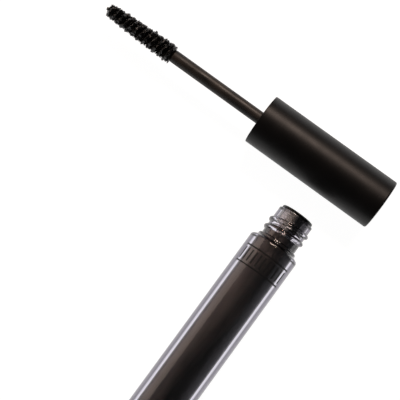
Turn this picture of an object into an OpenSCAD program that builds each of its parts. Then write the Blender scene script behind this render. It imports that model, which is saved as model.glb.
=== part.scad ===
// Mascara tube with its wand taken out and laid crosswise beyond the mouth.
// The tube's axis is the Y axis, with its base at the origin and its mouth towards +Y.
// The wand's axis is parallel to X, with its brush towards -X. Both lie at one height.

/* [Tube] */
// Outer diameter of the tube and of the cap
tube_d = 17; // [15:0.5:20]
// Length of the tube from its base to its shoulder
body_len = 70; // [55:1:90]
// Diameter of the bore that holds the product
bore_d = 8.2; // [7.8:0.1:9]
// Thickness of the solid base
base_t = 5; // [3:0.5:8]
// Radius on the edges of the base and the shoulder
edge_r = 0.6; // [0.3:0.1:1]

/* [Neck] */
// Height from the shoulder's edge to the top of the wiper
neck_h = 12.7; // [11.5:0.1:14]
// Outer diameter of the neck under the thread
neck_d = 12.1; // [11.6:0.1:12.4]
// Bore of the neck, which grips the wiper
neck_bore_d = 6.2; // [6:0.1:7]
// Rise of the sloping shoulder
shoulder_h = 1.5; // [1:0.1:2]
// Height of the thread ridge
thread_h = 0.72; // [0.5:0.02:0.8]
// Axial pitch of the single-start thread
pitch = 2.75; // [2.4:0.05:3]
// Depth of the lower turn below the top of the wiper, on the +X side
thread_depth = 7.1; // [6.5:0.1:7.5]

/* [Wiper] */
// Outer diameter of the wiper's flange
flange_d = 10.9; // [10:0.1:11.6]
// Thickness of the flange
flange_t = 1; // [0.8:0.1:1.2]
// Length of the wiper below the neck's top
wiper_len = 6.2; // [5:0.1:6.4]
// Diameter of the lip that wipes the rod
lip_d = 4.3; // [4.2:0.1:4.6]

/* [Cap] */
// Length of the cap
cap_len = 46; // [40:0.5:55]
// Wall of the outer shell
shell_t = 0.7; // [0.6:0.1:0.8]
// Thickness of the cap's closed end
end_t = 1.4; // [1:0.1:2]
// Depth of the threaded bore inside the cap
liner_depth = 13.2; // [13:0.1:16]
// Depth of the socket that holds the rod
socket_depth = 10; // [6:0.5:12]

/* [Wand] */
// Diameter of the rod
rod_d = 4.2; // [3.8:0.1:4.2]
// Length of rod that shows between the cap and the brush
rod_show = 34.4; // [28:0.2:40]
// Length of the brush
brush_len = 26; // [22:0.5:30]
// Diameter of the bristles at the rod end
bristle_d_rod = 6.3; // [5:0.1:7]
// Diameter of the bristles at the tip
bristle_d_tip = 4.4; // [3:0.1:5]
// Thickness of the wire that is folded and twisted
wire_d = 0.7; // [0.5:0.05:0.7]
// Length of one full twist of the wire
twist_pitch = 4.2; // [3:0.1:6]

/* [Layout] */
// Distance from the wiper's top to the wand's axis
wand_gap = 17.8; // [17:0.1:30]
// Distance from the tube's axis to the cap's open end, towards -X
cap_offset = 27; // [20:0.1:40]

/* [Hidden] */
$fn = 64;
eps = 0.01;

tube_r = tube_d / 2;
neck_r = neck_d / 2;
mouth_y = body_len + neck_h;      // top of the wiper
neck_top = mouth_y - flange_t;    // top of the bottle's own neck
wand_y = mouth_y + wand_gap;
bore_r = bore_d / 2;
neck_bore_r = neck_bore_d / 2;
bore_round = bore_r - neck_bore_r; // rounding where the wide bore narrows to the neck
bore_rise = 5.2;                  // how far the wide bore runs up into the neck
bore_end = body_len + bore_rise;
bottom_r = 2;                     // rounding at the bottom of the bore
shoulder_turn = 75;               // part of the shoulder's edge that is rounded, in degrees
neck_edge = 0.5;                  // rounding of the neck's top and fall behind the bead
wiper_wall = 0.55;                // wall of the wiper's sleeve
wiper_edge = 0.3;                 // rounding of its flange
wiper_taper = 1.2;                // length over which the sleeve narrows to the lip
lip_wall = 0.4;
funnel_len = 2.4;                 // length of the funnel above the lip
bead_h = 0.75;                    // stop bead at the foot of the neck
bead_rise = 1.7;                  // height of the bead above the shoulder's edge
bead_face = 0.5;                  // how far the shoulder's slope stops short of the bead
film = 0.05;                      // gap left between the product and the wall
paste_turn = 75;                  // part of the paste's upper edge that is rounded, in degrees
turning_fit = 0.05;               // radial clearance of the pieces that turn on each other

liner_r = tube_r - shell_t;       // outside of the liner, bonded in the shell
thread_clear = 0.25;              // radial gap round the tube's thread
liner_bore_r = neck_r + thread_h + thread_clear;
liner_floor = 1.2;
liner_lead = 0.3;                 // chamfer at the mouth of the liner
ridge_h = 0.68;                   // thread ridge inside the liner
ridge_half_w = 0.5;
ridge_from = 4.2;                 // where it starts, from the cap's open end
ridge_turn = 540;
liner_inset = 0.4;                // liner set back from the cap's open end
liner_back = liner_depth + liner_floor;
liner_len = liner_back + socket_depth;
socket_wall = 1.5;
socket_end = 0.5;                 // wall that closes the socket
rod_r = rod_d / 2;
rod_end_gap = 0.6;                // from the rod's hidden end to the back of the socket
rod_hidden = liner_len - rod_end_gap;
rod_edge = 0.45;                  // rounding of the rod's showing end
crimp_len = 6;                    // wire held inside the rod's end
wire_fit = 0.06;                  // clearance round the twisted wire
crimp_r = wire_d + wire_fit;      // hole in the rod's end
crimp_spare = 0.4;                // depth of the hole beyond the wire
strand_sides = 8;
slices_per_turn = 10;
bristle_start = 0.8;              // gap between the rod's end and the first bristles
bristle_end = 0.5;                // bare wire at the tip
brush_edge = 0.8;                 // length over which the bristles reach their full width
tip_taper = 2;                    // length over which they shorten at the tip
brush_taper = 0.2;                // narrowing by the middle of the brush
rod_bevel = 0.5;                  // narrowing at the rod's end of the brush
tip_bevel = 0.4;                  // narrowing at its tip
thread_from = -240;               // where the tube's thread starts, in degrees
thread_to = 450;                  // where it ends
thread_half_w = 0.85;
thread_fade = 35;                 // turn over which a ridge runs in and out, in degrees
thread_root = 0.15;               // depth of a ridge's root in the wall
least_fade = 0.2;
ridge_steps = 28;                 // rings per turn of a thread ridge
ring_sides = 6;                   // flat sides across a ridge
cap_lip = 0.12;                   // chamfer of the cap's open end
cut = 1;                          // how far a cutting shape stands out of the solid

// Points of a quarter circle about [cx, cy], from angle a0 to a1.
function arc(cx, cy, r, a0, a1, n = 5) =
    [for (i = [0:n]) [cx + r * cos(a0 + (a1 - a0) * i / n), cy + r * sin(a0 + (a1 - a0) * i / n)]];

// Share of its full height that a ridge has near its ends.
function fade(a, a0, a1) = min(1, max(least_fade, min(a - a0, a1 - a) / thread_fade));

// One closed ring of a ridge: a rounded crest on a root sunk into the wall.
// side is +1 for a ridge that stands outwards and -1 for one that stands inwards.
function ridge_ring(a, root_r, h, half_w, z, side) =
    [for (i = [0:ring_sides])
        let (t = 180 * i / ring_sides, r = root_r + side * ((h + thread_root) * sin(t) - thread_root))
        [r * cos(a), r * sin(a), z + half_w * cos(t)]];

// Helical ridge of a single-start right-hand thread about Z.
module thread_ridge(root_r, h, half_w, a0, a1, z_at_0, side) {
    steps = ceil((a1 - a0) / 360 * ridge_steps);
    count = ring_sides + 1;
    rings = [for (s = [0:steps])
        let (a = a0 + (a1 - a0) * s / steps)
        ridge_ring(a, root_r, h * fade(a, a0, a1), half_w, z_at_0 + pitch * a / 360, side)];
    points = [for (ring = rings) for (p = ring) p];
    walls = [for (s = [0:steps - 1]) for (i = [0:count - 1])
        let (j = (i + 1) % count, b = s * count, c = b + count)
        each [[b + i, b + j, c + j], [b + i, c + j, c + i]]];
    first = [for (i = [count - 1:-1:0]) i];
    last = [for (i = [0:count - 1]) steps * count + i];
    faces = concat(walls, [first, last]);
    polyhedron(points, side > 0 ? [for (f = faces) [for (i = [len(f) - 1:-1:0]) f[i]]] : faces);
}

// Stands a Z-axis shape along the tube's axis.
module on_tube() rotate([-90, 0, 0]) children();

// Lays a Z-axis shape along the wand's axis, with Z = 0 at the cap's open end.
module on_wand() translate([-cap_offset, wand_y, 0]) rotate([0, 90, 0]) children();

module bottle_outline() {
    polygon(concat(
        [[0, 0]],
        arc(tube_r - edge_r, edge_r, edge_r, -90, 0),
        arc(tube_r - edge_r, body_len - edge_r, edge_r, 0, shoulder_turn),
        [[neck_r + bead_h, body_len + shoulder_h - bead_face],
         [neck_r + bead_h, body_len + bead_rise],
         [neck_r, body_len + bead_rise + neck_edge]],
        arc(neck_r - neck_edge, neck_top - neck_edge, neck_edge, 0, 90),
        [[0, neck_top]]));
}

module bottle() color([0.93, 0.94, 0.95, 0.35]) on_tube()
    difference() {
        union() {
            rotate_extrude() bottle_outline();
            thread_ridge(neck_r, thread_h, thread_half_w, thread_from, thread_to,
                         mouth_y - thread_depth, 1);
        }
        rotate_extrude() polygon(concat(
            [[0, base_t]],
            arc(bore_r - bottom_r, base_t + bottom_r, bottom_r, -90, 0),
            arc(neck_bore_r, bore_end - bore_round, bore_round, 0, 90),
            [[neck_bore_r, neck_top + cut], [0, neck_top + cut]]));
    }

module wiper() color([0.16, 0.16, 0.17]) on_tube()
    rotate_extrude() polygon(concat(
        [[neck_bore_r - wiper_wall, mouth_y]],
        arc(flange_d / 2 - wiper_edge, mouth_y - wiper_edge, wiper_edge, 90, 0, 3),
        [[flange_d / 2, neck_top],
         [neck_bore_r, neck_top],
         [neck_bore_r, neck_top - wiper_len + wiper_taper],
         [lip_d / 2 + lip_wall, neck_top - wiper_len],
         [lip_d / 2, neck_top - wiper_len],
         [neck_bore_r - wiper_wall, neck_top - wiper_len + funnel_len]]));

module product() color([0.07, 0.06, 0.06]) on_tube()
    rotate_extrude() polygon(concat(
        [[0, base_t + film]],
        arc(bore_r - bottom_r, base_t + bottom_r, bottom_r - film, -90, 0),
        arc(neck_bore_r, bore_end - bore_round, bore_round - film, 0, paste_turn),
        [[0, bore_end - film]]));

module cap_shell() color([0.09, 0.09, 0.09]) on_wand()
    rotate_extrude() polygon(concat(
        [[liner_r, 0], [tube_r - cap_lip, 0], [tube_r, cap_lip]],
        arc(tube_r - edge_r, cap_len - edge_r, edge_r, 0, 90),
        [[0, cap_len], [0, cap_len - end_t], [liner_r, cap_len - end_t]]));

module cap_liner() color([0.12, 0.12, 0.12]) on_wand()
    union() {
        rotate_extrude() polygon([
            [liner_bore_r + liner_lead, liner_inset],
            [liner_r, liner_inset],
            [liner_r, liner_back],
            [rod_r + socket_wall, liner_back],
            [rod_r + socket_wall, liner_len],
            [0, liner_len],
            [0, liner_len - socket_end],
            [rod_r + turning_fit, liner_len - socket_end],
            [rod_r + turning_fit, liner_depth],
            [liner_bore_r, liner_depth],
            [liner_bore_r, liner_inset + liner_lead]]);
        thread_ridge(liner_bore_r, ridge_h, ridge_half_w, 0, ridge_turn, ridge_from, -1);
    }

module rod() color([0.15, 0.145, 0.14]) on_wand()
    difference() {
        rotate_extrude() polygon(concat(
            [[0, -rod_show]],
            arc(rod_r - rod_edge, rod_edge - rod_show, rod_edge, -90, 0),
            [[rod_r, rod_hidden], [0, rod_hidden]]));
        translate([0, 0, -rod_show - cut]) cylinder(r = crimp_r, h = crimp_len + crimp_spare + cut);
    }

module brush_wire() color([0.35, 0.35, 0.36]) on_wand()
    translate([0, 0, -rod_show - brush_len])
    linear_extrude(height = brush_len + crimp_len, twist = -360 * (brush_len + crimp_len) / twist_pitch,
                   slices = ceil(slices_per_turn * (brush_len + crimp_len) / twist_pitch), $fn = strand_sides)
    for (side = [-1, 1]) translate([side * (wire_d / 2 - eps), 0]) circle(r = wire_d / 2);

module bristles() color([0.03, 0.03, 0.03]) on_wand()
    rotate_extrude() polygon([
        [crimp_r, -rod_show - bristle_start],
        [bristle_d_rod / 2 - rod_bevel, -rod_show - bristle_start],
        [bristle_d_rod / 2, -rod_show - bristle_start - brush_edge],
        [bristle_d_rod / 2 - brush_taper, -rod_show - brush_len / 2],
        [bristle_d_tip / 2 + brush_taper, -rod_show - brush_len + tip_taper],
        [bristle_d_tip / 2 - tip_bevel, -rod_show - brush_len + bristle_end],
        [crimp_r, -rod_show - brush_len + bristle_end]]);

bottle();
wiper();
product();
cap_shell();
cap_liner();
rod();
brush_wire();
bristles();
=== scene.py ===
"""Mascara tube with its wand laid crosswise beyond the mouth, on a white light table.

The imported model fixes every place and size. Each sub-assembly is a class that builds finely turned
pieces in the places of its CAD nodes, dresses them, and rides them on the same bodies.
"""

import logging
import math
from collections.abc import Callable, Sequence
from dataclasses import dataclass
from enum import Enum

import bmesh
import bpy
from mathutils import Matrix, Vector, noise


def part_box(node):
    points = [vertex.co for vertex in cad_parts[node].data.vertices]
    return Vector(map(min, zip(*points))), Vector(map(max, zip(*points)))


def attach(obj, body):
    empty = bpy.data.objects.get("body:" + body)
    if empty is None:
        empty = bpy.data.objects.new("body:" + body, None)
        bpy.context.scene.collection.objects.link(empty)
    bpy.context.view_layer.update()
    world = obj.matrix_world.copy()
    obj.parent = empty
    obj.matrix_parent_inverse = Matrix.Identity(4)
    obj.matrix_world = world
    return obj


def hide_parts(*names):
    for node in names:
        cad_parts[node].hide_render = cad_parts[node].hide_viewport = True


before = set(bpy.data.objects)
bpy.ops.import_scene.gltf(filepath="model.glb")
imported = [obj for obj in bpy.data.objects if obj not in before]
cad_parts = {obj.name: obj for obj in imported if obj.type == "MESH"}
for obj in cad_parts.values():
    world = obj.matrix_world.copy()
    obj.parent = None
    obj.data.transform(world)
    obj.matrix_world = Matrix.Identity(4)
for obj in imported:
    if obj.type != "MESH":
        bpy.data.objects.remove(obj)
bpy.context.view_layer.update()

LOG = logging.getLogger("mascara")
MM = 0.001
PITCH = 2.75  # millimetres, of the neck's thread and the liner's ridge
THREAD_FROM, THREAD_TO = -240, 450  # degrees
THREAD_H, THREAD_HALF_W = 0.72, 0.85
THREAD_ROW = 0.1  # spacing of the rings that carry the neck's thread
LINER_ROW = 0.12  # and of those that carry the liner's
Outline = list[tuple[float, float]]
Swell = Callable[[float, float, float], float]


class Body(Enum):
    """The CAD bodies that pieces ride on."""

    TUBE = "tube"
    ROD = "wand_rod"
    CAP = "cap"


class Axis(Enum):
    """Which way a turned piece lies."""

    TUBE = "along +Y from the tube's base"
    WAND = "along +X from the cap's open end"


# ---------------------------------------------------------------- colours and shader nodes


def linear(hex_colour: str) -> tuple[float, float, float, float]:
    """Turns an sRGB hex colour into linear light.

    Args:
        hex_colour: Six hex digits, with or without a leading hash.

    Returns:
        Linear red, green and blue, and an alpha of 1.
    """
    digits = hex_colour.lstrip("#")
    parts = [int(digits[i:i + 2], 16) / 255 for i in (0, 2, 4)]
    light = [c / 12.92 if c <= 0.04045 else ((c + 0.055) / 1.055) ** 2.4 for c in parts]
    return (*light, 1.0)


def add(tree: bpy.types.NodeTree, kind: str, settings: dict | None = None,
        links: dict | None = None) -> bpy.types.Node:
    """Adds a node with its settings and links.

    Args:
        tree: The shader or geometry tree.
        kind: The node's type name.
        settings: Properties by name, and socket values by "in:" and the socket's name or number.
        links: Output sockets by the name or number of the input that each one feeds.

    Returns:
        The new node.
    """
    node = tree.nodes.new(kind)
    for key, value in (settings or {}).items():
        if key.startswith("in:"):
            name = key[3:]
            node.inputs[int(name) if name.isdigit() else name].default_value = value
        else:
            setattr(node, key, value)
    for key, output in (links or {}).items():
        tree.links.new(output, node.inputs[key])
    return node


def fresh(name: str) -> tuple[bpy.types.Material, bpy.types.NodeTree, bpy.types.Node]:
    """Makes an empty material.

    Args:
        name: The material's name.

    Returns:
        The material, its tree and its output node.
    """
    material = bpy.data.materials.new(name)
    material.use_nodes = True
    tree = material.node_tree
    tree.nodes.clear()
    return material, tree, add(tree, "ShaderNodeOutputMaterial")


def patches(tree: bpy.types.NodeTree, size_mm: float, detail: float = 3.0,
            stretch: tuple[float, float, float] = (1, 1, 1)) -> bpy.types.NodeSocket:
    """Adds a noise pattern in object space.

    Args:
        tree: The shader tree.
        size_mm: Size of one patch in millimetres.
        detail: Levels of finer noise.
        stretch: How much finer the pattern is along X, Y and Z.

    Returns:
        The noise value, from 0 to 1.
    """
    place = add(tree, "ShaderNodeTexCoord")
    turned = add(tree, "ShaderNodeMapping", {"in:Scale": stretch}, {"Vector": place.outputs["Object"]})
    field = add(tree, "ShaderNodeTexNoise", {"in:Scale": 1 / (size_mm * MM), "in:Detail": detail},
                {"Vector": turned.outputs["Vector"]})
    return field.outputs[0]


def ramp(tree: bpy.types.NodeTree, value: bpy.types.NodeSocket,
         stops: Sequence[tuple[float, tuple[float, float, float, float]]]) -> bpy.types.NodeSocket:
    """Maps a value to colours.

    Args:
        tree: The shader tree.
        value: The value to map.
        stops: Places from 0 to 1, each with its linear colour.

    Returns:
        The colour socket.
    """
    node = add(tree, "ShaderNodeValToRGB", None, {"Fac": value})
    elements = node.color_ramp.elements
    while len(elements) < len(stops):
        elements.new(0.5)
    for element, (place, colour) in zip(elements, stops):
        element.position = place
        element.color = colour
    return node.outputs["Color"]


def grey(level: float) -> tuple[float, float, float, float]:
    """A neutral linear colour of this level."""
    return (level, level, level, 1.0)


@dataclass(frozen=True)
class PatchyFinish:
    """A patchy finish, whose colour can also carry painted light that lightens it towards -X.

    The two colours are the darkest and lightest patches of the surface, grain is the height of its texture,
    and transmission is the share of light that its lightest patches let through.
    """

    name: str
    dark: str
    light: str
    patch_mm: float
    rough_low: float
    rough_high: float
    grain_mm: float = 0.3
    grain_height_mm: float = 0.0
    specular: float = 0.5
    metallic: float = 0.0
    transmission: float = 0.0
    stretch: tuple[float, float, float] = (1, 1, 1)
    # Painted light: lightens the colour towards -X, the side that the tube_side softbox lights.
    painted_light_left: float = 0.0  # how much the patches lighten per mm towards -X
    dark_below: float = 0.35
    light_above: float = 0.68

    def material(self) -> bpy.types.Material:
        """Builds the material.

        Returns:
            A Principled material whose colour, roughness and height vary over the surface, with painted light
            lightening the colour towards -X where that slope is set.
        """
        material, tree, output = fresh(self.name)
        spread = patches(tree, self.patch_mm, 4.0, self.stretch)
        # Painted light: a slope in X lightens the colour towards -X, where the side light falls.
        if self.painted_light_left:
            place = add(tree, "ShaderNodeTexCoord")
            split = add(tree, "ShaderNodeSeparateXYZ", None, {"Vector": place.outputs["Object"]})
            slope = {"operation": "MULTIPLY_ADD", "in:1": -self.painted_light_left / MM}
            spread = add(tree, "ShaderNodeMath", slope, {0: split.outputs["X"], 2: spread}).outputs[0]
        colour = ramp(tree, spread, [(self.dark_below, linear(self.dark)),
                                      (self.light_above, linear(self.light))])
        rough = ramp(tree, patches(tree, self.patch_mm * 0.6, 3.0, self.stretch),
                     [(0.3, grey(self.rough_low)), (0.7, grey(self.rough_high))])
        shader = add(tree, "ShaderNodeBsdfPrincipled", {
            "in:Metallic": self.metallic, "in:Specular IOR Level": self.specular,
            "in:Transmission Weight": self.transmission,
        }, {"Base Color": colour, "Roughness": rough})
        if self.grain_height_mm:
            bump = add(tree, "ShaderNodeBump", {"in:Distance": self.grain_height_mm * MM, "in:Strength": 1.0},
                       {"Height": patches(tree, self.grain_mm, 2.0, self.stretch)})
            tree.links.new(bump.outputs["Normal"], shader.inputs["Normal"])
        tree.links.new(shader.outputs[0], output.inputs["Surface"])
        return material


@dataclass(frozen=True)
class ClearFinish:
    """A clear moulded plastic with faint waves left by the mould, and a painted dark band of shade near where
    it is seen edge on.
    """

    name: str
    tint: str
    # Painted shade: the dark colour laid in a band near the silhouette.
    painted_edge_shade: str
    ior: float
    roughness: float
    wave_mm: float
    wave_height_mm: float

    def material(self) -> bpy.types.Material:
        """Builds the material.

        Returns:
            A transmitting Principled material with a slight waviness, whose colour carries a painted shade
            band towards the silhouette.
        """
        material, tree, output = fresh(self.name)
        bump = add(tree, "ShaderNodeBump", {"in:Distance": self.wave_height_mm * MM, "in:Strength": 1.0},
                   {"Height": patches(tree, self.wave_mm, 1.0, (1, 0.4, 1))})
        rough = ramp(tree, patches(tree, 3.0), [(0.3, grey(self.roughness)), (0.7, grey(self.roughness * 2))])
        # Painted shade: between facing 0.49 and 0.88 the colour turns to the dark edge colour, a painted dark
        # band just inside the silhouette.
        facing = add(tree, "ShaderNodeLayerWeight", {"in:Blend": 0.5}).outputs["Facing"]
        tint = ramp(tree, facing, [(0.4, linear(self.tint)), (0.49, linear(self.painted_edge_shade)),
                                   (0.88, linear(self.painted_edge_shade)), (1.0, linear(self.tint))])
        shader = add(tree, "ShaderNodeBsdfPrincipled", {"in:IOR": self.ior, "in:Transmission Weight": 1.0},
                     {"Base Color": tint, "Roughness": rough, "Normal": bump.outputs["Normal"]})
        tree.links.new(shader.outputs[0], output.inputs["Surface"])
        return material


# PETG, injection moulded in a polished tool: colourless, glossy, faint flow waves, with a painted dark band
# of shade along its edges.
COPOLYESTER = ClearFinish("petg_clear_moulded", "#E2DEEA", "#3B3742", 1.57, 0.012, 5.0, 0.0015)
# LDPE, moulded natural grey and wetted by the product, so it shows brown-grey and black patches, lightened
# towards -X by painted light.
POLYETHYLENE = PatchyFinish("ldpe_wiper_stains_and_painted_light", "#0B0A0A", "#EEEADB", 2.4, 0.14, 0.3, 1.2, 0.03, 0.8,
                            transmission=0.75, painted_light_left=0.13, dark_below=0.36, light_above=0.66)
# Wax paste: near black and satin, with a painted sheen of brown-grey patches that grows towards -X, the side
# the side light falls on.
PASTE = PatchyFinish("wax_paste_black", "#0D0C0B", "#6E655D", 7.0, 0.34, 0.46, 1.6, 0.012, 0.3,
                     stretch=(1, 0.12, 1), painted_light_left=0.085, dark_below=0.45, light_above=0.95)
# ABS under a soft matte lacquer: black with a fine even grain and a broad dull sheen.
LACQUERED_ABS = PatchyFinish("abs_matte_lacquer_black", "#040303", "#080606", 9.0, 0.4, 0.46, 0.16, 0.0035,
                             0.24)
# Polypropylene, moulded: black and a little waxy.
POLYPROPYLENE = PatchyFinish("polypropylene_black", "#0C0C0D", "#151516", 4.0, 0.3, 0.42, 0.5, 0.004, 0.5)
# Acetal rod, extruded: satin black, streaked along its length by the product that the wiper left.
ACETAL = PatchyFinish("acetal_rod_satin_black", "#090807", "#2E2722", 2.6, 0.4, 0.62, 0.7, 0.016, 0.4,
                      stretch=(0.25, 1, 1))
# Stainless wire, drawn and twisted: steel grey where the product has not covered it.
STEEL_WIRE = PatchyFinish("stainless_wire_drawn", "#5C5A58", "#8C8A88", 1.2, 0.25, 0.45, 0.2, 0.004, 0.5, 1.0)
# Nylon filament, drawn: black, glossy where it is wet.
NYLON = PatchyFinish("nylon_filament_black", "#020202", "#050404", 1.0, 0.3, 0.5, 0.2, 0.0, 0.12)
# The same paste on the brush, in wet lumps with small bright glints.
WET_PASTE = PatchyFinish("wax_paste_wet", "#020202", "#060505", 0.9, 0.12, 0.3, 0.5, 0.07, 0.35)
# Screen-printing ink: opaque charcoal, slightly raised and satin.
INK = PatchyFinish("screen_ink_charcoal", "#080808", "#101011", 2.0, 0.35, 0.5, 0.3, 0.002, 0.4)


# ---------------------------------------------------------------- turned shapes


def rounded(corners: Sequence[tuple[float, float, float]], steps: int = 6) -> Outline:
    """Rounds the corners of an outline and adds a support point beside each rounding.

    Args:
        corners: Points as place along the axis, radius and corner rounding, in millimetres.
        steps: Segments per rounding.

    Returns:
        The outline as places and radii.
    """
    out: Outline = []
    for i, (s, r, fillet) in enumerate(corners):
        here = Vector((s, r))
        if fillet <= 0 or i in (0, len(corners) - 1):
            out.append((s, r))
            continue
        before = Vector(corners[i - 1][:2]) - here
        after = Vector(corners[i + 1][:2]) - here
        reach = min(fillet, before.length * 0.45, after.length * 0.45)
        start = here + before.normalized() * reach
        end = here + after.normalized() * reach
        support = reach * 0.15
        out.append(tuple(start + before.normalized() * support))
        for k in range(steps + 1):
            t = k / steps
            out.append(tuple(start * (1 - t) ** 2 + here * 2 * t * (1 - t) + end * t ** 2))
        out.append(tuple(end + after.normalized() * support))
    return out


def finely(start: float, end: float, radius: float, step: float) -> Outline:
    """Closely spaced points at one radius.

    Args:
        start: First place along the axis, in millimetres.
        end: Last place.
        radius: Radius of the wall.
        step: Spacing of the points.

    Returns:
        The points, both ends included.
    """
    count = max(1, math.ceil(abs(end - start) / step))
    return [(start + (end - start) * k / count, radius) for k in range(count + 1)]


@dataclass
class Lathe:
    """Turns outlines into closed meshes along the tube's or the wand's axis."""

    axis: Axis
    segments: int = 160

    def __post_init__(self) -> None:
        """Takes the wand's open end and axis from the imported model."""
        low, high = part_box("cap_shell")
        self.open_x, self.wand_y = low[0], (low[1] + high[1]) / 2

    def place(self, angle: float, s: float, r: float) -> tuple[float, float, float]:
        """The point at an angle, a place along the axis and a radius in mm, in metres in the CAD frame."""
        a, b = r * MM * math.cos(angle), r * MM * math.sin(angle)
        if self.axis is Axis.TUBE:
            return (a, s * MM, -b)
        return (self.open_x + s * MM, self.wand_y + b, -a)

    def turn(self, name: str, outline: Outline, closed: bool = False,
             swell: Swell | None = None) -> bpy.types.Object:
        """Builds a turned solid.

        Args:
            name: The piece's name.
            outline: Places along the axis and radii in millimetres. An open one starts and ends on the axis.
            closed: Whether the outline is a loop that never meets the axis.
            swell: Gives what is added to a radius, from the angle, the place and the radius.

        Returns:
            The new object, smooth shaded, with its faces outwards.
        """
        shape = bmesh.new()
        rings: list[list[bmesh.types.BMVert]] = []
        for s, r in outline:
            if r < 1e-6:
                rings.append([shape.verts.new(self.place(0, s, 0))])
                continue
            ring = []
            for k in range(self.segments):
                angle = 2 * math.pi * k / self.segments
                ring.append(shape.verts.new(self.place(angle, s, r + (swell(angle, s, r) if swell else 0))))
            rings.append(ring)
        pairs = list(zip(rings, rings[1:]))
        if closed:
            pairs.append((rings[-1], rings[0]))
        for first, second in pairs:
            self._join(shape, first, second)
        bmesh.ops.recalc_face_normals(shape, faces=shape.faces)
        mesh = bpy.data.meshes.new(name)
        shape.to_mesh(mesh)
        shape.free()
        mesh.shade_smooth()
        piece = bpy.data.objects.new(name, mesh)
        bpy.context.scene.collection.objects.link(piece)
        return piece

    def _join(self, shape: bmesh.types.BMesh, first: list, second: list) -> None:
        """Fills the band between two rings, either of which may be a single point."""
        for k in range(self.segments):
            j = (k + 1) % self.segments
            if len(first) == 1 and len(second) > 1:
                shape.faces.new((first[0], second[k], second[j]))
            elif len(second) == 1 and len(first) > 1:
                shape.faces.new((first[k], first[j], second[0]))
            elif len(first) > 1:
                shape.faces.new((first[k], first[j], second[j], second[k]))


def dress(piece: bpy.types.Object, finish: PatchyFinish | ClearFinish, body: Body, slot: str,
          *nodes: str) -> None:
    """Gives a piece its material, body and the CAD nodes that it stands for.

    Args:
        piece: The finished piece.
        finish: Its finish.
        body: The body that it rides on.
        slot: The record's material slot. Not used.
        nodes: The CAD nodes that it replaces.
    """
    material = bpy.data.materials.get(finish.name) or finish.material()
    piece.data.materials.clear()
    piece.data.materials.append(material)
    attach(piece, body.value)
    if nodes:
        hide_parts(*nodes)
    LOG.info("%s rides on %s, %d faces", piece.name, body.value, len(piece.data.polygons))


@dataclass(frozen=True)
class ScrewThread:
    """A single-start right-hand thread ridge, in millimetres and degrees."""

    start_deg: float
    end_deg: float
    place_at_0: float
    pitch: float
    height: float
    half_width: float
    fade_deg: float = 35

    def rise(self, angle: float, s: float) -> float:
        """Height of the ridge over the wall.

        Args:
            angle: Angle about the axis in radians.
            s: Place along the axis in millimetres.

        Returns:
            The height in millimetres, 0 between the turns.
        """
        best = 0.0
        turn = math.degrees(angle) - 720
        while turn <= self.end_deg:
            if turn >= self.start_deg:
                off = abs(s - self.place_at_0 - self.pitch * turn / 360) / self.half_width
                inside = min(turn - self.start_deg, self.end_deg - turn)
                fade = min(1.0, inside / self.fade_deg)
                if off < 1:
                    best = max(best, self.height * fade * (1 - off * off) ** 0.8)
            turn += 360
        return best


# ---------------------------------------------------------------- the tube


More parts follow.
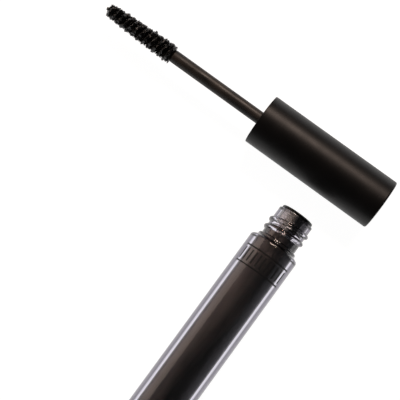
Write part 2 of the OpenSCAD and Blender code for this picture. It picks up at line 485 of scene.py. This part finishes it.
@dataclass
class Tube:
    """The clear bottle with its wiper, its product and a printed band."""

    wall_r: float
    mouth: float
    neck_top: float
    flange_r: float
    neck_h: float = 12.7
    neck_r: float = 6.05
    neck_bore_r: float = 3.1
    bore_r: float = 4.1
    base_t: float = 5.0
    edge_r: float = 0.6
    bore_rise: float = 5.2
    wiper_len: float = 6.2
    wiper_wall: float = 0.55
    lip_r: float = 2.15
    band_gap: float = 3.7
    band_h: float = 6.3
    band_bars: int = 11
    bar_pitch_deg: float = 11
    bar_width_deg: float = 4.2
    bar_inset: float = 1.1
    rule_h: float = 0.5
    ink_lift: float = 0.012
    thread_depth: float = 7.1  # from the mouth to the thread's middle turn
    thread_low: float = 2.25  # from the shoulder to the foot of the threaded part
    thread_high: float = 0.7  # from its head to the neck's top
    bead_h: float = 0.75
    bead_rise: float = 1.7
    bead_foot: float = 0.95
    bead_flare: float = 0.03
    bead_back: float = 0.35
    neck_edge: float = 0.55
    bore_step: float = 0.4
    bore_round: float = 0.8
    bottom_r: float = 2.0
    dip: float = 0.5  # how far the paste sinks at the middle
    wiper_taper: float = 1.2
    lip_wall: float = 0.4
    funnel: float = 2.4
    flange_edge: float = 0.3
    film_t: float = 0.07
    film_lift: float = 0.02
    wetting: float = 0.03  # how far the pieces inside bed into the clear wall, so that no air shows

    @classmethod
    def from_frame(cls) -> "Tube":
        """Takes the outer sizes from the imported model.

        Returns:
            The tube, in millimetres.
        """
        low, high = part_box("bottle")
        _, wiper_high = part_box("wiper")
        return cls((high[0] - low[0]) / 2 / MM, wiper_high[1] / MM, high[1] / MM, wiper_high[0] / MM)

    def build(self) -> None:
        """Builds and dresses the four pieces."""
        lathe = Lathe(Axis.TUBE)
        dress(self.bottle(lathe), COPOLYESTER, Body.TUBE, "clear_body", "bottle")
        dress(self.wiper(lathe), POLYETHYLENE, Body.TUBE, "wiper", "wiper")
        dress(self.product(lathe), PASTE, Body.TUBE, "product", "product")
        dress(self.rim_film(lathe), WET_PASTE, Body.TUBE, "product")
        dress(self.printed_band(), INK, Body.TUBE, "product")

    def bottle(self, lathe: Lathe) -> bpy.types.Object:
        """The bottle: wall, shoulder, bead and threaded neck, with its bore."""
        shoulder = self.mouth - self.neck_h
        bore_end = shoulder + self.bore_rise
        thread = ScrewThread(THREAD_FROM, THREAD_TO, self.mouth - self.thread_depth, PITCH, THREAD_H,
                             THREAD_HALF_W)
        low = shoulder + self.thread_low
        high = self.neck_top - self.thread_high
        bead_r = self.neck_r + self.bead_h
        body = rounded([(0, 0, 0), (0, self.wall_r, self.edge_r), (shoulder, self.wall_r, self.edge_r),
                        (shoulder + self.bead_foot, bead_r + self.bead_flare, 0.25),
                        (shoulder + self.bead_rise, bead_r, 0.3),
                        (shoulder + self.bead_rise + self.bead_back, self.neck_r, 0.2),
                        (low, self.neck_r, 0)])
        top = rounded([(high, self.neck_r, 0), (self.neck_top, self.neck_r, self.neck_edge),
                       (self.neck_top, self.neck_bore_r, 0.12), (bore_end, self.neck_bore_r, 0.3),
                       (bore_end - self.bore_step, self.bore_r, self.bore_round),
                       (self.base_t, self.bore_r, self.bottom_r), (self.base_t, 0, 0)])
        outline = body[:-1] + finely(low, high, self.neck_r, THREAD_ROW) + top[1:]

        def swell(angle: float, s: float, r: float) -> float:
            """The thread's height where the outline is at the neck's radius."""
            on_neck = math.isclose(r, self.neck_r) and low <= s <= high
            return thread.rise(angle, s) if on_neck else 0.0

        return lathe.turn("bottle_clear", outline, swell=swell)

    def wiper(self, lathe: Lathe) -> bpy.types.Object:
        """The wiper: a flange on the neck, and a sleeve that narrows to the lip."""
        end = self.neck_top - self.wiper_len
        sleeve = self.neck_bore_r + self.wetting
        inner = self.neck_bore_r - self.wiper_wall
        # The first point only says which way the bore comes to the mouth, and is left out of the loop.
        outline = rounded([(end + 1, inner - 0.2, 0), (self.mouth, inner, 0.2),
                           (self.mouth, self.flange_r, self.flange_edge), (self.neck_top, self.flange_r, 0.1),
                           (self.neck_top, sleeve, 0.05), (end + self.wiper_taper, sleeve, 0.2),
                           (end, self.lip_r + self.lip_wall, 0.1), (end, self.lip_r, 0.05),
                           (end + self.funnel, inner, 0.3), (end + self.funnel + 0.2, inner, 0)])
        return lathe.turn("wiper_sleeve", outline[1:], closed=True)

    def product(self, lathe: Lathe) -> bpy.types.Object:
        """The paste, bedded against the bore, with an uneven level."""
        bed = self.bore_r + self.wetting
        level = self.mouth - self.neck_h + self.bore_rise
        bottom, side_top = self.base_t - self.wetting, level - self.bore_step + self.wetting
        outline = rounded([(bottom, 0, 0), (bottom, bed, self.bottom_r), (side_top, bed, self.bore_round),
                           (level + 0.02, self.neck_bore_r, 0.2),
                           (level - self.dip * 0.6, self.neck_bore_r * 0.6, 0.3), (level - self.dip, 0, 0)])
        return lathe.turn("product_paste", outline)

    def rim_film(self, lathe: Lathe) -> bpy.types.Object:
        """Product smeared over the wiper's flange."""
        outer, inner = self.flange_r + self.film_lift, self.neck_bore_r - self.wiper_wall + 0.1
        top, low = self.mouth + self.film_lift, self.neck_top + 0.1
        under, back = top - self.film_t, outer - self.film_t
        outline = rounded([(low, outer, 0), (top, outer, 0.3), (top, inner, 0), (under, inner, 0),
                           (under, back, 0.25), (low, back, 0)])
        return lathe.turn("product_on_rim", outline, closed=True)

    def printed_band(self) -> bpy.types.Object:
        """A plain printed band of upright bars between two rules, wrapped part way round the wall."""
        shape = bmesh.new()
        lift = self.wall_r + self.ink_lift
        top = self.mouth - self.neck_h - self.band_gap
        low = top - self.band_h
        pitch = math.radians(self.bar_pitch_deg)

        def patch(angle: float, width: float, low: float, high: float) -> None:
            """Adds a curved rectangle of this width in radians about an angle."""
            count = max(2, math.ceil(width / math.radians(2)))
            rows = []
            for k in range(count + 1):
                turn = angle + width * (k / count - 0.5)
                x, z = lift * MM * math.sin(turn), lift * MM * math.cos(turn)
                rows.append([shape.verts.new((x, s * MM, z)) for s in (low, high)])
            for a, b in zip(rows, rows[1:]):
                shape.faces.new((a[0], b[0], b[1], a[1]))

        for k in range(self.band_bars):
            angle = (k - (self.band_bars - 1) / 2) * pitch
            patch(angle, math.radians(self.bar_width_deg), low + self.bar_inset, top - self.bar_inset)
        for rule in (top, low + self.rule_h):
            patch(0, pitch * self.band_bars, rule - self.rule_h, rule)
        mesh = bpy.data.meshes.new("printed_band")
        shape.to_mesh(mesh)
        shape.free()
        piece = bpy.data.objects.new("printed_band", mesh)
        bpy.context.scene.collection.objects.link(piece)
        return piece


# ---------------------------------------------------------------- the cap and rod


@dataclass
class Cap:
    """The outer shell and the threaded liner that carries the rod."""

    length: float
    wall_r: float
    rod_end: float
    shell_t: float = 0.7
    end_t: float = 1.4
    edge_r: float = 0.6
    neck_bore_r: float = 7.02
    liner_depth: float = 13.2
    socket_depth: float = 10.0
    rod_r: float = 2.1
    floor_t: float = 1.2
    bond_gap: float = 0.01
    inset: float = 0.4
    lead_in: float = 0.3
    bore_low: float = 0.8  # where the threaded part of the bore starts, from the open end
    bore_high: float = 0.3  # how far it stops short of the floor
    socket_wall: float = 1.5
    socket_end: float = 0.5
    turning_fit: float = 0.05
    ridge_from: float = 4.2
    ridge_turn_deg: float = 540
    ridge_h: float = 0.68
    ridge_half_w: float = 0.5
    rod_end_gap: float = 0.6
    crimp_r: float = 0.76
    crimp_depth: float = 6.4
    rod_edge: float = 0.5
    open_edge: float = 0.14

    @classmethod
    def from_frame(cls) -> "Cap":
        """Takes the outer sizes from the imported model.

        Returns:
            The cap, in millimetres.
        """
        low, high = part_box("cap_shell")
        rod_low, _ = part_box("rod")
        return cls((high[0] - low[0]) / MM, (high[2] - low[2]) / 2 / MM, (low[0] - rod_low[0]) / MM)

    def build(self) -> None:
        """Builds and dresses the shell, the liner and the rod."""
        lathe = Lathe(Axis.WAND)
        dress(self.shell(lathe), LACQUERED_ABS, Body.CAP, "cap", "cap_shell")
        dress(self.liner(lathe), POLYPROPYLENE, Body.CAP, "liner", "cap_liner")
        dress(self.rod(lathe), ACETAL, Body.ROD, "rod", "rod")

    def shell(self, lathe: Lathe) -> bpy.types.Object:
        """The shell: a crisp open edge and a closed end with a small rounding."""
        inner = self.wall_r - self.shell_t
        outline = rounded([(self.length - self.end_t, 0, 0), (self.length - self.end_t, inner, 0.3),
                           (0, inner, 0.08), (0, self.wall_r, self.open_edge),
                           (self.length, self.wall_r, self.edge_r), (self.length, 0, 0)])
        return lathe.turn("cap_shell_matte", outline)

    def liner(self, lathe: Lathe) -> bpy.types.Object:
        """The liner: a threaded bore, a floor that seals on the neck, and the rod's socket."""
        outer = self.wall_r - self.shell_t - self.bond_gap
        floor = self.liner_depth
        back = floor + self.floor_t
        end = back + self.socket_depth
        thread = ScrewThread(0, self.ridge_turn_deg, self.ridge_from, PITCH, self.ridge_h, self.ridge_half_w)
        low, high = self.bore_low, floor - self.bore_high
        bore = finely(high, low, self.neck_bore_r, LINER_ROW)
        socket_r, tube_r = self.rod_r + self.turning_fit, self.rod_r + self.socket_wall
        rim = rounded([(low, self.neck_bore_r, 0), (self.inset, self.neck_bore_r + self.lead_in, 0.1),
                       (self.inset, outer, 0.1), (back, outer, 0.3), (back, tube_r, 0.3), (end, tube_r, 0.3),
                       (end, 0, 0)])
        socket = rounded([(end - self.socket_end, 0, 0), (end - self.socket_end, socket_r, 0.05),
                          (floor, socket_r, 0.1), (floor, self.neck_bore_r, 0.2),
                          (high, self.neck_bore_r, 0)])

        def swell(angle: float, s: float, r: float) -> float:
            """The ridge's height, inwards, where the outline is at the bore's radius."""
            in_bore = math.isclose(r, self.neck_bore_r) and low < s < high
            return -thread.rise(angle, s) if in_bore else 0.0

        return lathe.turn("cap_liner_threaded", socket[:-1] + bore + rim[1:], swell=swell)

    def rod(self, lathe: Lathe) -> bpy.types.Object:
        """The rod, with a rounded nose and the crimp hole for the wire."""
        hidden = self.liner_depth + self.floor_t + self.socket_depth - self.rod_end_gap
        nose, hole = -self.rod_end, self.crimp_depth - self.rod_end
        outline = rounded([(hole, 0, 0), (hole, self.crimp_r, 0.05), (nose, self.crimp_r, 0.1),
                           (nose, self.rod_r, self.rod_edge), (hidden, self.rod_r, 0.1), (hidden, 0, 0)])
        return lathe.turn("rod_satin", outline)


# ---------------------------------------------------------------- the brush


def group_input(tree: bpy.types.NodeTree, name: str, kind: str, value: object = None) -> None:
    """Adds a named input to a geometry tree.

    Args:
        tree: The geometry tree.
        name: The input's name.
        kind: Its socket type.
        value: Its default value, if it has one.
    """
    socket = tree.interface.new_socket(name, in_out="INPUT", socket_type=kind)
    if value is not None:
        socket.default_value = value


def baked(name: str, tree: bpy.types.NodeTree, values: dict[str, object]) -> bpy.types.Object:
    """Runs a geometry tree once and keeps the result as a plain mesh.

    Args:
        name: The piece's name.
        tree: The geometry tree.
        values: Values by input name.

    Returns:
        A plain mesh object with no modifier.
    """
    carrier = bpy.data.objects.new(name + "_carrier", bpy.data.meshes.new(name + "_seed"))
    bpy.context.scene.collection.objects.link(carrier)
    modifier = carrier.modifiers.new("nodes", "NODES")
    modifier.node_group = tree
    sockets = {i.name: i.identifier for i in tree.interface.items_tree if i.in_out == "INPUT"}
    for key, value in values.items():
        modifier[sockets[key]] = value
    evaluated = carrier.evaluated_get(bpy.context.evaluated_depsgraph_get())
    mesh = bpy.data.meshes.new_from_object(evaluated)
    mesh.name = name
    bpy.data.objects.remove(carrier)
    piece = bpy.data.objects.new(name, mesh)
    bpy.context.scene.collection.objects.link(piece)
    return piece


@dataclass
class Brush:
    """The twisted wire, its bristles and the product that they hold."""

    root: float
    tip: float
    centre_y: float
    root_r: float = 3.15
    tip_r: float = 2.2
    wire_r: float = 0.35
    twist_pitch: float = 4.2
    crimp: float = 6.0
    bristle_count: int = 3000
    bristle_w: float = 0.085
    bristle_gap: float = 0.15  # from the rod's end to the first bristles
    bare_tip: float = 0.7
    taper_power: float = 1.6
    fan: float = 0.7  # radians each way from the row
    lean: float = 0.2  # radians each way along the wire
    shortest: float = 0.86  # of the full length
    lump_segments: int = 72
    lump_rows: int = 230
    core_r: float = 0.6
    fin_share: float = 0.42  # of the product's reach that follows the twist
    fin_power: float = 1.3
    lump_depth: float = 0.42
    seed: int = 7

    @classmethod
    def from_frame(cls) -> "Brush":
        """Takes the brush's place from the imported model.

        Returns:
            The brush, with its ends in metres.
        """
        rod_low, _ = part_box("rod")
        low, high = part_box("brush_wire")
        return cls(rod_low[0], low[0], (low[1] + high[1]) / 2)

    def build(self) -> None:
        """Builds and dresses the wire, the bristles and the clinging product."""
        dress(self.wire(), STEEL_WIRE, Body.CAP, "wire", "brush_wire")
        dress(self.bristles(), NYLON, Body.CAP, "bristles", "bristles")
        dress(self.clinging_product(), WET_PASTE, Body.CAP, "product")

    def reach(self, t: float) -> float:
        """Bristle length in mm at a share t of the way from the rod to the tip."""
        return self.root_r + (self.tip_r - self.root_r) * t ** self.taper_power

    def wire(self) -> bpy.types.Object:
        """Two strands of one folded wire, twisted together from the tip; the fold itself is not built."""
        tree = bpy.data.node_groups.new("twisted_wire", "GeometryNodeTree")
        tree.interface.new_socket("Geometry", in_out="OUTPUT", socket_type="NodeSocketGeometry")
        group_input(tree, "Length", "NodeSocketFloat", 0.032)
        group_input(tree, "Turns", "NodeSocketFloat", 7.6)
        group_input(tree, "Strand Radius", "NodeSocketFloat", 0.00035)
        group_input(tree, "Tip", "NodeSocketVector")
        group_input(tree, "Material", "NodeSocketMaterial")
        given = add(tree, "NodeGroupInput").outputs
        path = add(tree, "GeometryNodeCurveSpiral", {"in:Resolution": 20}, {
            "Rotations": given["Turns"], "Start Radius": given["Strand Radius"],
            "End Radius": given["Strand Radius"], "Height": given["Length"]})
        ring = add(tree, "GeometryNodeCurvePrimitiveCircle", {"in:Resolution": 10},
                   {"Radius": given["Strand Radius"]})
        strand = add(tree, "GeometryNodeCurveToMesh", {"in:Fill Caps": True},
                     {"Curve": path.outputs["Curve"], "Profile Curve": ring.outputs["Curve"]})
        other = add(tree, "GeometryNodeTransform", {"in:Rotation": (0, 0, math.pi)},
                    {"Geometry": strand.outputs["Mesh"]})
        both = add(tree, "GeometryNodeJoinGeometry", None, {"Geometry": strand.outputs["Mesh"]})
        tree.links.new(other.outputs["Geometry"], both.inputs["Geometry"])
        laid = add(tree, "GeometryNodeTransform", {"in:Rotation": (0, math.pi / 2, 0)},
                   {"Geometry": both.outputs["Geometry"], "Translation": given["Tip"]})
        self._close(tree, laid.outputs["Geometry"], given["Material"])
        length = self.root - self.tip + self.crimp * MM
        return baked("brush_wire_twisted", tree, {
            "Length": length, "Turns": length / (self.twist_pitch * MM), "Strand Radius": self.wire_r * MM,
            "Tip": (self.tip, self.centre_y, 0), "Material": STEEL_WIRE.material()})

    def bristles(self) -> bpy.types.Object:
        """Nylon bristles that fan out of the wire in two rows and turn with its twist."""
        tree = bpy.data.node_groups.new("twisted_bristles", "GeometryNodeTree")
        tree.interface.new_socket("Geometry", in_out="OUTPUT", socket_type="NodeSocketGeometry")
        group_input(tree, "Count", "NodeSocketInt", 3000)
        group_input(tree, "Length", "NodeSocketFloat", 0.025)
        group_input(tree, "Twist Pitch", "NodeSocketFloat", 0.0042)
        group_input(tree, "Root Radius", "NodeSocketFloat", 0.00315)
        group_input(tree, "Tip Radius", "NodeSocketFloat", 0.0022)
        group_input(tree, "Thickness", "NodeSocketFloat", 0.00005)
        group_input(tree, "Seed", "NodeSocketInt", 7)
        group_input(tree, "Start", "NodeSocketVector")
        group_input(tree, "Material", "NodeSocketMaterial")
        given = add(tree, "NodeGroupInput").outputs

        def maths(kind: str, a: object, b: object) -> bpy.types.NodeSocket:
            """A sum, product or other result of two sockets or numbers."""
            node = add(tree, "ShaderNodeMath", {"operation": kind})
            for k, item in enumerate((a, b)):
                if isinstance(item, bpy.types.NodeSocket):
                    tree.links.new(item, node.inputs[k])
                else:
                    node.inputs[k].default_value = item
            return node.outputs[0]

        def scatter(low: float, high: float, number: int) -> bpy.types.NodeSocket:
            """A random value for each bristle, in its own sequence."""
            seed = maths("ADD", given["Seed"], number)
            node = add(tree, "FunctionNodeRandomValue", {"data_type": "FLOAT"}, {"Seed": seed})
            node.inputs[2].default_value = low
            node.inputs[3].default_value = high
            return node.outputs[1]

        index = add(tree, "GeometryNodeInputIndex").outputs[0]
        share = maths("DIVIDE", index, given["Count"])
        step = add(tree, "ShaderNodeCombineXYZ", None,
                   {"X": maths("DIVIDE", maths("MULTIPLY", given["Length"], -1.0), given["Count"])})
        line = add(tree, "GeometryNodeMeshLine", None, {"Count": given["Count"], "Offset": step.outputs[0]})
        turns = maths("DIVIDE", maths("MULTIPLY", share, given["Length"]), given["Twist Pitch"])
        side = maths("MULTIPLY", maths("MODULO", index, 2.0), math.pi)
        fan = scatter(-self.fan, self.fan, 1)
        angle = maths("ADD", maths("ADD", maths("MULTIPLY", turns, 2 * math.pi), side), fan)
        taper = maths("POWER", share, self.taper_power)
        reach = maths("ADD", given["Root Radius"],
                      maths("MULTIPLY", maths("SUBTRACT", given["Tip Radius"], given["Root Radius"]), taper))
        long = maths("MULTIPLY", reach, scatter(self.shortest, 1.0, 2))
        bristle = add(tree, "GeometryNodeMeshCone", {
            "in:Vertices": 5, "in:Side Segments": 2, "in:Radius Top": 0.45, "in:Radius Bottom": 1.0,
            "in:Depth": 1.0})
        lean = add(tree, "ShaderNodeCombineXYZ", None, {"Y": scatter(-self.lean, self.lean, 3)})
        size = add(tree, "ShaderNodeCombineXYZ", None,
                   {"X": given["Thickness"], "Y": given["Thickness"], "Z": long})
        planted = add(tree, "GeometryNodeInstanceOnPoints", None, {
            "Points": line.outputs["Mesh"], "Instance": bristle.outputs["Mesh"],
            "Rotation": lean.outputs[0], "Scale": size.outputs[0]})
        about = add(tree, "ShaderNodeCombineXYZ", None, {"X": angle})
        fanned = add(tree, "GeometryNodeRotateInstances", {"in:Local Space": False}, {
            "Instances": planted.outputs["Instances"], "Rotation": about.outputs[0]})
        laid = add(tree, "GeometryNodeTransform", None,
                   {"Geometry": fanned.outputs["Instances"], "Translation": given["Start"]})
        self._close(tree, laid.outputs["Geometry"], given["Material"])
        gap = self.bristle_gap * MM
        return baked("bristles_nylon", tree, {
            "Count": self.bristle_count, "Length": self.root - self.tip - self.bare_tip * MM - gap,
            "Twist Pitch": self.twist_pitch * MM, "Root Radius": self.root_r * MM,
            "Tip Radius": self.tip_r * MM, "Thickness": self.bristle_w * MM, "Seed": self.seed,
            "Start": (self.root - gap, self.centre_y, 0),
            "Material": NYLON.material()})

    def _close(self, tree: bpy.types.NodeTree, geometry: bpy.types.NodeSocket,
               material: bpy.types.NodeSocket) -> None:
        """Ends a tree with Realize Instances, smooth shading and Set Material."""
        real = add(tree, "GeometryNodeRealizeInstances", None, {"Geometry": geometry})
        smooth = add(tree, "GeometryNodeSetShadeSmooth", None, {"Geometry": real.outputs["Geometry"]})
        dressed = add(tree, "GeometryNodeSetMaterial", None,
                      {"Geometry": smooth.outputs["Geometry"], "Material": material})
        add(tree, "NodeGroupOutput", None, {"Geometry": dressed.outputs["Geometry"]})

    def clinging_product(self) -> bpy.types.Object:
        """Product caught in the bristles: a lumpy double helix that follows the twist."""
        lathe = Lathe(Axis.WAND, self.lump_segments)
        open_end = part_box("cap_shell")[0][0]
        start = (self.root - open_end) / MM + 0.1
        end = (self.tip - open_end) / MM + 0.5
        outline: Outline = [(start, 0.0)]
        for k in range(self.lump_rows + 1):
            outline.append((start + (end - start) * k / self.lump_rows, self.core_r))
        outline.append((end, 0.0))

        def swell(angle: float, s: float, r: float) -> float:
            """How far the product reaches past its core, in fins and lumps that thin out at both ends."""
            t = (start - s) / (start - end)
            twist = 2 * math.pi * (start - s) / self.twist_pitch + math.pi / 2
            fin = abs(math.cos(angle - twist)) ** self.fin_power
            spot = Vector((math.cos(angle) * 1.6, math.sin(angle) * 1.6, s * 1.1))
            lumps = noise.noise(spot * 1.3) * 0.5 + noise.noise(spot * 3.1) * 0.28
            ends = min(1.0, 40.0 * t + 0.5, 18.0 * (1 - t) + 0.35)
            share = 0.58 + self.fin_share * fin + self.lump_depth * lumps
            full = self.reach(t) * share
            return max(0.0, full * ends - r)

        return lathe.turn("product_on_brush", outline, swell=swell)


# ---------------------------------------------------------------- the studio


@dataclass
class Studio:
    """A white light table with soft light, and the camera above it."""

    azimuth: float = 36.3
    elevation: float = 83.0
    distance: float = 0.342
    lens: float = 99.0
    look_x: float = -0.0273
    look_y: float = 0.0685
    table_size: float = 3.0
    table_glow: float = 0.97
    surround: float = 0.07

    def build(self) -> None:
        """Builds the table, the lights and the camera."""
        self._table()
        self._world()
        target = Vector((self.look_x, self.look_y, 0))
        tube_side = target + self._direction(145) * 0.45 + Vector((0, 0, 0.2))
        wand_side = target + self._direction(60) * 0.32 + Vector((0, 0, 0.36))
        self._softbox("tube_side", tube_side, target, 0.5, 0.3, 0.6)
        self._softbox("wand_side", wand_side, target, 0.24, 0.1, 1.5)
        self._camera(target)

    def _direction(self, image_deg: float) -> Vector:
        """The direction on the table that points this way in the camera's view, 90 being up."""
        turn = math.radians(image_deg + self.azimuth)
        return Vector((math.cos(turn), math.sin(turn), 0))

    def _table(self) -> None:
        """The light table: opal acrylic, lit from below."""
        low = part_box("bottle")[0][2]
        bpy.ops.mesh.primitive_plane_add(size=self.table_size, location=(0, 0, low))
        table = bpy.context.object
        table.name = "light_table"
        material, tree, output = fresh("acrylic_opal_lit")
        shader = add(tree, "ShaderNodeBsdfPrincipled", {
            "in:Base Color": linear("#7A7A7A"), "in:Roughness": 0.6, "in:Emission Color": linear("#FFFFFF"),
            "in:Emission Strength": self.table_glow, "in:Specular IOR Level": 0.1})
        tree.links.new(shader.outputs[0], output.inputs["Surface"])
        table.data.materials.append(material)

    def _world(self) -> None:
        """A dim even surround."""
        world = bpy.data.worlds.new("studio")
        world.use_nodes = True
        world.node_tree.nodes["Background"].inputs["Color"].default_value = linear("#F2F3F6")
        world.node_tree.nodes["Background"].inputs["Strength"].default_value = self.surround
        bpy.context.scene.world = world
        bpy.context.scene.view_settings.view_transform = "Standard"

    def _softbox(self, name: str, place: Vector, target: Vector, width: float, height: float,
                 power: float) -> None:
        """Adds a rectangular softbox aimed at the target.

        Args:
            name: The light's name.
            place: Its centre.
            target: The point that it faces.
            width: Its width in metres.
            height: Its height in metres.
            power: Its power in watts.
        """
        data = bpy.data.lights.new(name, "AREA")
        data.shape = "RECTANGLE"
        data.size, data.size_y, data.energy = width, height, power
        data.color = linear("#FFE6D6")[:3]
        light = bpy.data.objects.new(name, data)
        light.location = place
        light.rotation_euler = (target - place).to_track_quat("-Z", "Y").to_euler()
        bpy.context.scene.collection.objects.link(light)

    def _camera(self, target: Vector) -> None:
        """Adds the camera and makes it the scene's."""
        turn, tilt = math.radians(self.azimuth), math.radians(self.elevation)
        forward = Vector((-math.sin(turn) * math.cos(tilt), math.cos(turn) * math.cos(tilt), -math.sin(tilt)))
        data = bpy.data.cameras.new("camera")
        data.lens = self.lens
        data.clip_start = 0.01
        camera = bpy.data.objects.new("camera", data)
        camera.location = target - forward * self.distance
        camera.rotation_euler = forward.to_track_quat("-Z", "Y").to_euler()
        bpy.context.scene.collection.objects.link(camera)
        bpy.context.scene.camera = camera


def main() -> None:
    """Builds the tube, the cap and rod, the brush and the studio."""
    logging.basicConfig(level=logging.INFO, format="%(name)s: %(message)s")
    Tube.from_frame().build()
    Cap.from_frame().build()
    Brush.from_frame().build()
    Studio().build()
    bpy.context.view_layer.update()


if __name__ == "__main__":
    main()
